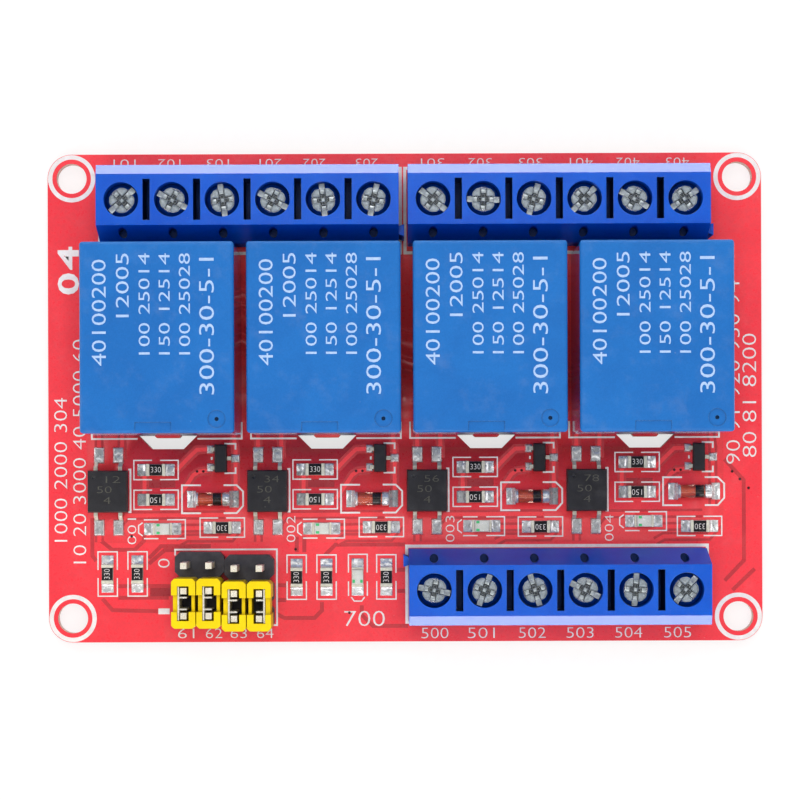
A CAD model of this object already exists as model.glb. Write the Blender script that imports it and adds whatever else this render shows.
"""Completes the four-channel relay module board in the frame of its CAD model.

It adds what is printed, etched or formed too finely for the CAD model, gives every piece its
surface, and lights the board in a plain studio.
"""

import logging
import math
from contextlib import contextmanager
from dataclasses import dataclass, replace
from enum import Enum
from typing import Callable, Iterator, Sequence

import bpy
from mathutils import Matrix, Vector


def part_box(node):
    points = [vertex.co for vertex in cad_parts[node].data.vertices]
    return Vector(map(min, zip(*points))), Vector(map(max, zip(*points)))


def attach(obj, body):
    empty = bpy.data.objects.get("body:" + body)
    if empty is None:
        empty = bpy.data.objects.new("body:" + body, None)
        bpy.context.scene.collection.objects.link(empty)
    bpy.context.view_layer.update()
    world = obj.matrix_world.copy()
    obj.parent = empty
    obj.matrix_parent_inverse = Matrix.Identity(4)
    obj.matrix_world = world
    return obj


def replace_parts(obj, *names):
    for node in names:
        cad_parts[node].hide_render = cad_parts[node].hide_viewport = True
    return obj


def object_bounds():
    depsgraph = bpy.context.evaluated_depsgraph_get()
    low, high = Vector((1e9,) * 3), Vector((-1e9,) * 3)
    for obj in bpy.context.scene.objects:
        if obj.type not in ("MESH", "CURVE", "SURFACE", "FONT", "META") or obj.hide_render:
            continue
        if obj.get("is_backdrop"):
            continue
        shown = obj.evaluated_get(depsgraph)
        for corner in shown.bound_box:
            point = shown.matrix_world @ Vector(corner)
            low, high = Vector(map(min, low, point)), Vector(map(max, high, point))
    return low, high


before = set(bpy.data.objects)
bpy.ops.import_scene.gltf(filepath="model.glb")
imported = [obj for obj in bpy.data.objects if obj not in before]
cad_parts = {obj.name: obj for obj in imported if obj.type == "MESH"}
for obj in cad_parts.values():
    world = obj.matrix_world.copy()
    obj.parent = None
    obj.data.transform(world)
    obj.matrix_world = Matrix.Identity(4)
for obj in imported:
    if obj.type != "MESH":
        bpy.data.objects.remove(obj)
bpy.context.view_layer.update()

LOG = logging.getLogger("relay_board")
MM = 0.001
Point = tuple[float, float]
Colour = tuple[float, float, float]
Path = Sequence[Point]
Test = Callable[[Vector, Vector], bool]


def srgb(red: int, green: int, blue: int) -> Colour:
    """Turns an 8-bit screen colour into the linear one that shaders take.

    Args:
        red: Red, 0 to 255.
        green: Green, 0 to 255.
        blue: Blue, 0 to 255.

    Returns:
        The linear colour.
    """

    def linear(value: int) -> float:
        """Undoes the screen's curve for one channel.

        Args:
            value: The channel, 0 to 255.

        Returns:
            The linear level, 0 to 1.
        """
        level = value / 255
        return level / 12.92 if level <= 0.04045 else ((level + 0.055) / 1.055) ** 2.4

    return linear(red), linear(green), linear(blue)


# ---------------------------------------------------------------- modelling


def only(*objs: bpy.types.Object) -> None:
    """Selects these objects and nothing else, the first one active.

    Args:
        objs: The objects to select.
    """
    bpy.ops.object.select_all(action="DESELECT")
    for obj in objs:
        obj.select_set(True)
    bpy.context.view_layer.objects.active = objs[0]


@contextmanager
def editing(obj: bpy.types.Object, mode: str = "FACE") -> Iterator[None]:
    """Opens an object's mesh for editing and closes it again.

    Args:
        obj: The object to edit.
        mode: What is selected: VERT, EDGE or FACE.

    Returns:
        A context inside which edit-mode operators work.
    """
    only(obj)
    bpy.context.tool_settings.mesh_select_mode = tuple(mode == kind for kind in ("VERT", "EDGE", "FACE"))
    bpy.ops.object.mode_set(mode="EDIT")
    try:
        yield
    finally:
        bpy.ops.object.mode_set(mode="OBJECT")


def faces_up(centre: Vector, normal: Vector) -> bool:
    """Tells a face that looks up.

    Args:
        centre: The face's centre, which doesn't matter here.
        normal: The face's normal.

    Returns:
        Whether it looks up.
    """
    return normal.z > 0.9


def pick_faces(obj: bpy.types.Object, test: Test = faces_up) -> None:
    """Selects the faces whose centre and normal pass a test.

    Args:
        obj: The object, in object mode.
        test: Takes a face's centre and normal.
    """
    mesh = obj.data
    for part in (mesh.vertices, mesh.edges):
        part.foreach_set("select", [False] * len(part))
    picked = [bool(test(face.center, face.normal)) for face in mesh.polygons]
    mesh.polygons.foreach_set("select", picked)
    mesh.update()


def pick_edges(obj: bpy.types.Object, test: Test) -> None:
    """Selects the edges whose middle and direction pass a test.

    Args:
        obj: The object, in object mode.
        test: Takes an edge's middle and its unit direction.
    """
    mesh = obj.data
    for part in (mesh.polygons, mesh.vertices):
        part.foreach_set("select", [False] * len(part))
    for edge in mesh.edges:
        a, b = (mesh.vertices[i].co for i in edge.vertices)
        edge.select = bool(test((a + b) / 2, (b - a).normalized()))
    mesh.update()


def step(inset: float, rise: float) -> None:
    """Insets the selected faces and moves them up or down, in edit mode.

    Args:
        inset: How far their rim moves in, in millimetres.
        rise: How far they move up, in millimetres.
    """
    bpy.ops.mesh.inset(thickness=inset * MM)
    bpy.ops.transform.translate(value=(0, 0, rise * MM))


def block(name: str, size: Sequence[float], at: Sequence[float]) -> bpy.types.Object:
    """A box with its size and place in its mesh.

    Args:
        name: The object's name.
        size: Its size along X, Y and Z, in millimetres.
        at: Its centre, in millimetres.

    Returns:
        The object, at the origin.
    """
    bpy.ops.object.select_all(action="DESELECT")
    bpy.ops.mesh.primitive_cube_add(size=1)
    obj = bpy.context.object
    obj.name = name
    obj.scale = Vector(size) * MM
    obj.location = Vector(at) * MM
    bpy.ops.object.transform_apply()
    return obj


def disc(
    name: str, radius: float, height: float, at: Sequence[float], sides: int = 32
) -> bpy.types.Object:
    """A cylinder standing on a point, with its place in its mesh.

    Args:
        name: The object's name.
        radius: Its radius, in millimetres.
        height: Its height, in millimetres.
        at: The middle of its foot, in millimetres.
        sides: How many sides it has.

    Returns:
        The object, at the origin.
    """
    bpy.ops.object.select_all(action="DESELECT")
    bpy.ops.mesh.primitive_cylinder_add(
        vertices=sides, radius=radius * MM, depth=height * MM
    )
    obj = bpy.context.object
    obj.name = name
    obj.location = (Vector(at) + Vector((0, 0, height / 2))) * MM
    bpy.ops.object.transform_apply()
    return obj


def soften(
    obj: bpy.types.Object,
    width: float,
    test: Test = lambda middle, run: True,
    segments: int = 2,
) -> bpy.types.Object:
    """Bevels the edges that pass a test.

    Args:
        obj: The object.
        width: The bevel's width, in millimetres.
        test: Takes an edge's middle and its unit direction.
        segments: How many faces the bevel has.

    Returns:
        The same object.
    """
    pick_edges(obj, test)
    with editing(obj, "EDGE"):
        bpy.ops.mesh.bevel(offset=width * MM, segments=segments, affect="EDGES")
    return clean(obj)


def lying(obj: bpy.types.Object, height: float) -> bpy.types.Object:
    """Lays a standing piece along X and lifts it.

    Args:
        obj: The piece, round the Z axis and centred on the origin.
        height: The height of its axis afterwards, in millimetres.

    Returns:
        The same object.
    """
    only(obj)
    obj.rotation_euler = (0, math.radians(90), 0)
    obj.location = (0, 0, height * MM)
    bpy.ops.object.transform_apply()
    return obj


def spread(obj: bpy.types.Object, name: str, places: Sequence[tuple[Point, float]]) -> bpy.types.Object:
    """Copies a modelled piece to every place and joins the copies.

    Args:
        obj: The piece at the origin; it is used up.
        name: The joined object's name.
        places: Each copy's place in millimetres and its turn in degrees.

    Returns:
        The joined object.
    """
    twins = [copied(obj, name, (*at, 0), turn) for at, turn in places]
    bpy.data.objects.remove(obj)
    return merged(name, twins)


def apply_modifier(obj: bpy.types.Object, kind: str, **values: object) -> None:
    """Adds a modifier and applies it at once.

    Args:
        obj: The object.
        kind: The modifier's type.
        values: Its settings.
    """
    only(obj)
    modifier = obj.modifiers.new(kind.title(), kind)
    for key, value in values.items():
        setattr(modifier, key, value)
    bpy.ops.object.modifier_apply(modifier=modifier.name)


def clean(obj: bpy.types.Object, angle: float = 35) -> bpy.types.Object:
    """Merges doubles, turns the faces outward and smooths the soft edges.

    Args:
        obj: The object.
        angle: Edges below this many degrees are shaded smooth.

    Returns:
        The same object.
    """
    with editing(obj, "VERT"):
        bpy.ops.mesh.select_all(action="SELECT")
        bpy.ops.mesh.remove_doubles(threshold=1e-7)
        bpy.ops.mesh.normals_make_consistent(inside=False)
    bpy.ops.object.shade_smooth_by_angle(angle=math.radians(angle))
    return obj


def merged(name: str, objs: Sequence[bpy.types.Object]) -> bpy.types.Object:
    """Joins objects into one.

    Args:
        name: The joined object's name.
        objs: The objects to join.

    Returns:
        The joined object.
    """
    only(*objs)
    if len(objs) > 1:
        bpy.ops.object.join()
    obj = bpy.context.view_layer.objects.active
    obj.name = name
    obj.data.name = name
    return obj


def copied(
    obj: bpy.types.Object, name: str, shift: Sequence[float], turn: float = 0
) -> bpy.types.Object:
    """A copy with its own mesh, turned about Z and then shifted.

    Args:
        obj: The object to copy.
        name: The copy's name.
        shift: Where its origin goes, in millimetres.
        turn: Its turn about Z, in degrees.

    Returns:
        The copy, with its place in its mesh.
    """
    only(obj)
    bpy.ops.object.duplicate(linked=False)
    twin = bpy.context.object
    twin.name = name
    twin.data.name = name
    twin.rotation_euler = (0, 0, math.radians(turn))
    twin.location = Vector(shift) * MM
    bpy.ops.object.transform_apply()
    return twin


def raised(obj: bpy.types.Object, height: float) -> bpy.types.Object:
    """Gives a flat mesh a thickness, upward.

    Args:
        obj: The flat object.
        height: The thickness, in millimetres.

    Returns:
        The same object.
    """
    with editing(obj):
        bpy.ops.mesh.select_all(action="SELECT")
        bpy.ops.mesh.extrude_region_move(
            TRANSFORM_OT_translate={"value": (0, 0, height * MM)}
        )
    return clean(obj, 30)


def flat(name: str, points: Sequence[Vector], faces: Sequence[Sequence[int]]) -> bpy.types.Object:
    """A flat mesh, ready to be given a thickness.

    Args:
        name: The object's name.
        points: Its corners, in metres.
        faces: Each face's corners, by number.

    Returns:
        The object, at the origin.
    """
    mesh = bpy.data.meshes.new(name)
    mesh.from_pydata(points, [], faces)
    obj = bpy.data.objects.new(name, mesh)
    bpy.context.collection.objects.link(obj)
    return obj


def ribbon(name: str, paths: Sequence[Path], width: float, z: float, height: float) -> bpy.types.Object:
    """Flat strips of one width along paths, with mitred corners and a small thickness.

    Args:
        name: The object's name.
        paths: The paths, each a list of points in millimetres; one that ends where it starts is closed.
        width: The strips' width, in millimetres.
        z: The height of their underside, in millimetres.
        height: Their thickness, in millimetres.

    Returns:
        The object, at the origin.
    """
    points: list[Vector] = []
    quads: list[tuple[int, int, int, int]] = []
    for path in paths:
        line = [Vector(p) for p in path]
        closed = (line[0] - line[-1]).length < 1e-6
        if closed:
            line.pop()
        count = len(line)
        first = len(points)
        for i, here in enumerate(line):
            before = line[i - 1] if closed or i else here
            after = line[(i + 1) % count] if closed or i < count - 1 else here
            run_in = (here - before).normalized() if before != here else (after - here).normalized()
            run_out = (after - here).normalized() if after != here else run_in
            side = Vector((-run_in.y - run_out.y, run_in.x + run_out.x)).normalized()
            reach = width / 2 / max(0.4, side.dot(Vector((-run_in.y, run_in.x))))
            for sign in (1, -1):
                points.append(Vector((*(here + sign * side * reach), z)) * MM)
        for i in range(count if closed else count - 1):
            a, b = first + 2 * i, first + 2 * ((i + 1) % count)
            quads.append((a, a + 1, b + 1, b))
    return raised(flat(name, points, quads), height)


def plate(name: str, outline: Path, z: float, height: float) -> bpy.types.Object:
    """A flat plate with any outline.

    Args:
        name: The object's name.
        outline: Its corners in order, in millimetres.
        z: The height of its underside, in millimetres.
        height: Its thickness, in millimetres.

    Returns:
        The object, at the origin.
    """
    corners = [Vector((x, y, z)) * MM for x, y in outline]
    return raised(flat(name, corners, [range(len(corners))]), height)


def moved(path: Path, centre: Sequence[float], quarter: int = 0) -> list[Point]:
    """Turns a path by quarter turns and shifts it.

    Args:
        path: The path, round the origin, in millimetres.
        centre: Where its origin goes.
        quarter: How many quarter turns, counter-clockwise.

    Returns:
        The moved path.
    """
    points = list(path)
    for _ in range(quarter % 4):
        points = [(-y, x) for x, y in points]
    return [(x + centre[0], y + centre[1]) for x, y in points]


def arc(centre: Point, radius: float, start: float, end: float, steps: int = 40) -> list[Point]:
    """Points along an arc.

    Args:
        centre: Its centre, in millimetres.
        radius: Its radius, in millimetres.
        start: The angle it starts at, in degrees.
        end: The angle it ends at, in degrees.
        steps: How many pieces it has.

    Returns:
        The points.
    """
    turns = [math.radians(start + (end - start) * i / steps) for i in range(steps + 1)]
    return [(centre[0] + radius * math.cos(t), centre[1] + radius * math.sin(t)) for t in turns]


def numeral(
    text: str,
    size: float,
    at: Sequence[float],
    turn: float,
    height: float,
    length: float = 0,
    thin: float = 0.014,
) -> bpy.types.Object:
    """Plain figures as a raised print.

    Args:
        text: The figures.
        size: The height of a figure, in millimetres.
        at: The middle of the print's underside, in millimetres.
        turn: The print's turn about Z, in degrees.
        height: The print's thickness, in millimetres.
        length: How long the print is, in millimetres; its natural length if it is 0.
        thin: How much each stroke loses on both sides, as a share of the type's body.

    Returns:
        The object, at the origin.
    """
    bpy.ops.object.select_all(action="DESELECT")
    bpy.ops.object.text_add()
    obj = bpy.context.object
    obj.data.body = text
    obj.data.align_x = "CENTER"
    obj.data.align_y = "CENTER"
    obj.data.resolution_u = 3
    obj.data.offset = -thin
    bpy.ops.object.convert(target="MESH")
    obj = bpy.context.object
    scale = size / 0.7 * MM
    stretch = length * MM / obj.dimensions.x if length else scale
    obj.scale = (stretch, scale, scale)
    obj.rotation_euler = (0, 0, math.radians(turn))
    obj.location = Vector(at) * MM
    bpy.ops.object.transform_apply()
    return raised(obj, height)


def islands(node: str) -> list[tuple[Vector, Vector]]:
    """Finds the separate solids of a CAD node.

    Args:
        node: The node's name.

    Returns:
        The lowest and highest corner of each solid, in millimetres, from left to right.
    """
    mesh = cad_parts[node].data
    keys: dict[tuple[int, ...], int] = {}
    place = [
        keys.setdefault(tuple(round(c * 1e7) for c in v.co), len(keys)) for v in mesh.vertices
    ]
    parent = list(range(len(keys)))

    def root(i: int) -> int:
        """Finds the point that stands for a point's whole solid.

        Args:
            i: The point's number.

        Returns:
            The number of the point that stands for it.
        """
        while parent[i] != i:
            parent[i] = parent[parent[i]]
            i = parent[i]
        return i

    for face in mesh.polygons:
        a = root(place[face.vertices[0]])
        for v in face.vertices[1:]:
            parent[root(place[v])] = a
    boxes: dict[int, tuple[Vector, Vector]] = {}
    for v, key in zip(mesh.vertices, place):
        co = v.co / MM
        low, high = boxes.setdefault(root(key), (co.copy(), co.copy()))
        for axis in range(3):
            low[axis] = min(low[axis], co[axis])
            high[axis] = max(high[axis], co[axis])
    return sorted(boxes.values(), key=lambda b: (round(b[0].x, 2), b[0].y))


def middles(node: str) -> list[tuple[Point, bool]]:
    """Where the solids of a CAD node stand and how they lie.

    Args:
        node: The node's name.

    Returns:
        Each solid's middle in millimetres, and whether it is longer along Y.
    """
    found = []
    for low, high in islands(node):
        size = high - low
        found.append((((low.x + high.x) / 2, (low.y + high.y) / 2), size.y > size.x))
    return found


def top_middle(node: str) -> Vector:
    """The middle of a CAD node's top.

    Args:
        node: The node's name.

    Returns:
        The place, in millimetres.
    """
    low, high = (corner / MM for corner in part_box(node))
    return Vector(((low.x + high.x) / 2, (low.y + high.y) / 2, high.z))


def added(obj: bpy.types.Object, body: str) -> bpy.types.Object:
    """Hands a finished piece to its body.

    Args:
        obj: The piece.
        body: The body it moves with.

    Returns:
        The same piece.
    """
    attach(obj, body)
    return obj


# ---------------------------------------------------------------- shading


class Tree:
    """Writes nodes into one node tree."""

    def __init__(self, tree: bpy.types.NodeTree) -> None:
        """Empties the tree.

        Args:
            tree: The material's or the group's node tree.
        """
        self.tree = tree
        tree.nodes.clear()

    def put(self, socket: bpy.types.NodeSocket, value: object) -> None:
        """Links or sets one input.

        Args:
            socket: The input.
            value: A socket to link, or a constant.
        """
        if isinstance(value, bpy.types.NodeSocket):
            self.tree.links.new(value, socket)
        elif socket.type == "RGBA" and len(value) == 3:
            socket.default_value = (*value, 1)
        else:
            socket.default_value = value

    def add(self, kind: str, settings: dict | None = None, **inputs: object) -> bpy.types.Node:
        """Adds a node.

        Args:
            kind: Its type, without the ShaderNode in front.
            settings: Its own properties.
            inputs: Its inputs by name, with _ for a space, or by number as i0, i1 and so on.

        Returns:
            The node.
        """
        node = self.tree.nodes.new(kind if kind.startswith("Node") else "ShaderNode" + kind)
        for key, value in (settings or {}).items():
            setattr(node, key, value)
        for key, value in inputs.items():
            name = int(key[1:]) if key[0] == "i" and key[1:].isdigit() else key.replace("_", " ")
            self.put(node.inputs[name], value)
        return node

    def math(self, operation: str, *values: object) -> bpy.types.NodeSocket:
        """Adds one sum.

        Args:
            operation: The Math node's operation.
            values: Its inputs in order.

        Returns:
            The result.
        """
        node = self.add("Math", {"operation": operation})
        for socket, value in zip(node.inputs, values):
            self.put(socket, value)
        return node.outputs[0]

    def times(self, a: object, b: object) -> bpy.types.NodeSocket:
        """Multiplies two values.

        Args:
            a: The first value.
            b: The second value.

        Returns:
            The product.
        """
        return self.math("MULTIPLY", a, b)

    def facing(self) -> bpy.types.NodeSocket:
        """How far the surface looks up.

        Returns:
            1 where it looks up, 0 at an upright wall and -1 where it looks down.
        """
        normal = self.add("NewGeometry").outputs["Normal"]
        return self.add("SeparateXYZ", Vector=normal).outputs["Z"]

    def bump(self, height: object, depth: object, normal: bpy.types.NodeSocket) -> bpy.types.NodeSocket:
        """Raises a relief on a normal.

        Args:
            height: The relief, from 0 to 1.
            depth: How high it stands, in metres.
            normal: The normal so far.

        Returns:
            The new normal.
        """
        return self.add("Bump", Strength=1.0, Distance=depth, Height=height, Normal=normal).outputs[0]

    def mix(self, factor: object, a: object, b: object, blend: str = "MIX") -> bpy.types.NodeSocket:
        """Mixes two colours.

        Args:
            factor: How much of the second colour.
            a: The first colour.
            b: The second colour.
            blend: How they are blended.

        Returns:
            The mixed colour.
        """
        node = self.add("Mix", {"data_type": "RGBA", "blend_type": blend}, i0=factor, i6=a, i7=b)
        return node.outputs[2]

    def ramp(
        self, value: object, low: float, high: float, to_low: float = 0, to_high: float = 1
    ) -> bpy.types.NodeSocket:
        """Maps one range smoothly on another.

        Args:
            value: The value.
            low: Where the range starts.
            high: Where it ends.
            to_low: What it starts at afterwards.
            to_high: What it ends at afterwards.

        Returns:
            The mapped value.
        """
        node = self.add(
            "MapRange",
            {"interpolation_type": "SMOOTHSTEP"},
            Value=value,
            From_Min=low,
            From_Max=high,
            To_Min=to_low,
            To_Max=to_high,
        )
        return node.outputs[0]


def shader_group(
    name: str, inputs: Sequence[tuple[str, str, object]], outputs: Sequence[tuple[str, str]]
) -> tuple[Tree, bpy.types.Node, bpy.types.Node]:
    """Starts a shader node group.

    Args:
        name: The group's name.
        inputs: Each input's name, socket type and default.
        outputs: Each output's name and socket type.

    Returns:
        The group's tree, its input node and its output node.
    """
    tree = bpy.data.node_groups.new(name, "ShaderNodeTree")
    for label, kind, default in inputs:
        socket = tree.interface.new_socket(label, in_out="INPUT", socket_type="NodeSocket" + kind)
        if default is not None:
            socket.default_value = default
        elif kind == "Vector" and label == "Normal":
            socket.hide_value = True
    for label, kind in outputs:
        tree.interface.new_socket(label, in_out="OUTPUT", socket_type="NodeSocket" + kind)
    t = Tree(tree)
    return t, t.add("NodeGroupInput"), t.add("NodeGroupOutput")


class Effects:
    """The shader groups that all finishes share."""

    def __init__(self) -> None:
        """Builds every group."""
        self.grain = self._grain()
        self.drift = self._drift()
        self.edges = self._edges()
        self.dust = self._dust()
        self.scratches = self._scratches()
        self.cavity = self._cavity()
        self.brushed = self._brushed()

    @staticmethod
    def _grain() -> bpy.types.NodeTree:
        """Fine grain in two sizes, as a mask and as a bump.

        Returns:
            The group.
        """
        t, given, out = shader_group(
            "Fine grain",
            [
                ("Vector", "Vector", None), ("Size", "Float", 0.2), ("Depth", "Float", 0.002),
                ("Normal", "Vector", None),
            ],
            [("Mask", "Float"), ("Normal", "Vector")],
        )
        scale = t.math("DIVIDE", 1 / MM, given.outputs["Size"])
        coarse = t.add(
            "TexNoise", Vector=given.outputs["Vector"], Scale=scale, Detail=3.0, Roughness=0.6
        )
        fine_scale = t.times(scale, 3.7)
        fine = t.add(
            "TexNoise", Vector=given.outputs["Vector"], Scale=fine_scale, Detail=2.0, Roughness=0.5
        )
        both = t.math("ADD", coarse.outputs[0], t.times(fine.outputs[0], 0.45))
        mask = t.ramp(both, 0.45, 1.0)
        t.put(out.inputs["Mask"], mask)
        depth = t.times(given.outputs["Depth"], MM)
        t.put(out.inputs["Normal"], t.bump(mask, depth, given.outputs["Normal"]))
        return t.tree

    @staticmethod
    def _drift() -> bpy.types.NodeTree:
        """Slow drift between two colours, warped so that no pattern shows.

        Returns:
            The group.
        """
        t, given, out = shader_group(
            "Colour drift",
            [
                ("Vector", "Vector", None), ("Size", "Float", 4.0), ("Base", "Color", None),
                ("Other", "Color", None), ("Amount", "Float", 1.0),
            ],
            [("Color", "Color"), ("Mask", "Float")],
        )
        scale = t.math("DIVIDE", 1 / MM, given.outputs["Size"])
        slow = t.add(
            "TexNoise", Vector=given.outputs["Vector"], Scale=scale, Detail=4.0, Roughness=0.55,
            Distortion=0.6,
        )
        mask = t.times(t.ramp(slow.outputs[0], 0.3, 0.7), given.outputs["Amount"])
        t.put(out.inputs["Color"], t.mix(mask, given.outputs["Base"], given.outputs["Other"]))
        t.put(out.inputs["Mask"], mask)
        return t.tree

    @staticmethod
    def _edges() -> bpy.types.NodeTree:
        """Where edges are handled and worn, and a normal that rounds them.

        Returns:
            The group.
        """
        t, given, out = shader_group(
            "Edge wear",
            [("Vector", "Vector", None), ("Width", "Float", 0.12), ("Amount", "Float", 0.6)],
            [("Mask", "Float"), ("Normal", "Vector")],
        )
        width = t.times(given.outputs["Width"], MM)
        rounded = t.add("Bevel", {"samples": 6}, Radius=width)
        plain = t.add("NewGeometry")
        dot = t.add(
            "VectorMath", {"operation": "DOT_PRODUCT"}, i0=rounded.outputs[0], i1=plain.outputs["Normal"]
        )
        bend = t.ramp(t.math("SUBTRACT", 1.0, dot.outputs["Value"]), 0.015, 0.22)
        chips = t.add(
            "TexNoise", Vector=given.outputs["Vector"], Scale=2600.0, Detail=4.0, Roughness=0.7
        )
        worn = t.times(bend, t.ramp(chips.outputs[0], 0.38, 0.62))
        t.put(out.inputs["Mask"], t.times(worn, given.outputs["Amount"]))
        t.put(out.inputs["Normal"], rounded.outputs[0])
        return t.tree

    @staticmethod
    def _dust() -> bpy.types.NodeTree:
        """Specks and a thin veil on faces that look up.

        Returns:
            The group.
        """
        t, given, out = shader_group(
            "Settled dust",
            [("Vector", "Vector", None), ("Amount", "Float", 0.3)],
            [("Mask", "Float")],
        )
        up = t.ramp(t.facing(), 0.35, 0.95)
        veil = t.add("TexNoise", Vector=given.outputs["Vector"], Scale=420.0, Detail=5.0, Roughness=0.7)
        specks = t.add("TexVoronoi", Vector=given.outputs["Vector"], Scale=900.0, Randomness=1.0)
        dots = t.ramp(specks.outputs["Distance"], 0.1, 0.04)
        rare = t.math(
            "GREATER_THAN", t.add("SeparateColor", Color=specks.outputs["Color"]).outputs[0], 0.86
        )
        thin = t.times(t.ramp(veil.outputs[0], 0.5, 0.75), 0.4)
        layer = t.times(t.math("ADD", thin, t.times(dots, rare)), up)
        t.put(out.inputs["Mask"], t.times(layer, given.outputs["Amount"]))
        return t.tree

    @staticmethod
    def _cavity() -> bpy.types.NodeTree:
        """How deep a place lies between its own part's walls.

        Returns:
            The group.
        """
        t, given, out = shader_group(
            "Cavities",
            [("Reach", "Float", 1.2), ("Amount", "Float", 1.0)],
            [("Mask", "Float")],
        )
        reach = t.times(given.outputs["Reach"], MM)
        sky = t.add("AmbientOcclusion", {"samples": 6, "only_local": True}, Distance=reach)
        deep = t.ramp(sky.outputs["AO"], 0.72, 0.25)
        t.put(out.inputs["Mask"], t.times(deep, given.outputs["Amount"]))
        return t.tree

    @staticmethod
    def _scratches() -> bpy.types.NodeTree:
        """Thin short scratches in two directions.

        Returns:
            The group.
        """
        t, given, out = shader_group(
            "Fine scratches",
            [("Vector", "Vector", None), ("Amount", "Float", 0.3)],
            [("Mask", "Float")],
        )
        place = given.outputs["Vector"]
        total: object = 0.0
        for turn, shift in ((0.5, 0.0), (-0.95, 3.3)):
            turned = {"Rotation": (0, 0, turn), "Location": (shift, shift, 0), "Scale": (260, 4200, 600)}
            laid = t.add("Mapping", Vector=place, **turned)
            lines = t.add("TexNoise", Vector=laid.outputs[0], Scale=1.0, Detail=1.0)
            middle = t.math("ABSOLUTE", t.math("SUBTRACT", lines.outputs[0], 0.5))
            gate = t.add("TexNoise", Vector=place, Scale=360.0 + 90 * shift, Detail=2.0)
            broken = t.times(t.ramp(middle, 0.012, 0.0), t.ramp(gate.outputs[0], 0.55, 0.72))
            total = t.math("MAXIMUM", total, broken)
        t.put(out.inputs["Mask"], t.times(total, given.outputs["Amount"]))
        return t.tree

    @staticmethod
    def _brushed() -> bpy.types.NodeTree:
        """Drawn lines of rolled or pressed metal along X, Y or Z.

        Returns:
            The group.
        """
        t, given, out = shader_group(
            "Drawn lines",
            [
                ("Vector", "Vector", None), ("Stretch", "Vector", (200, 6000, 6000)),
                ("Depth", "Float", 0.001), ("Normal", "Vector", None),
            ],
            [("Mask", "Float"), ("Normal", "Vector")],
        )
        laid = t.add(
            "VectorMath", {"operation": "MULTIPLY"}, i0=given.outputs["Vector"],
            i1=given.outputs["Stretch"],
        )
        lines = t.add("TexNoise", Vector=laid.outputs[0], Scale=1.0, Detail=4.0, Roughness=0.65)
        mask = t.ramp(lines.outputs[0], 0.3, 0.7)
        t.put(out.inputs["Mask"], mask)
        depth = t.times(given.outputs["Depth"], MM)
        t.put(out.inputs["Normal"], t.bump(mask, depth, given.outputs["Normal"]))
        return t.tree


# What every finish shares: how strongly each effect shows, and the colour of dust
RELIEF_SHADE = 0.12
CAVITY_SHADE = 0.12
SCRATCH_ROUGHNESS = 0.25
DUST_ROUGHNESS = 0.4
COAT_ROUGHNESS = 0.12
DUST = srgb(205, 200, 192)
# How far a surface looks up where it counts as a wall, and where as a top
WALL_TO_TOP = (0.15, 0.6)


class Surface(Enum):
    """How a finish scatters light."""

    PLASTIC = "plastic"
    METAL = "metal"
    CLEAR = "clear"


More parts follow.
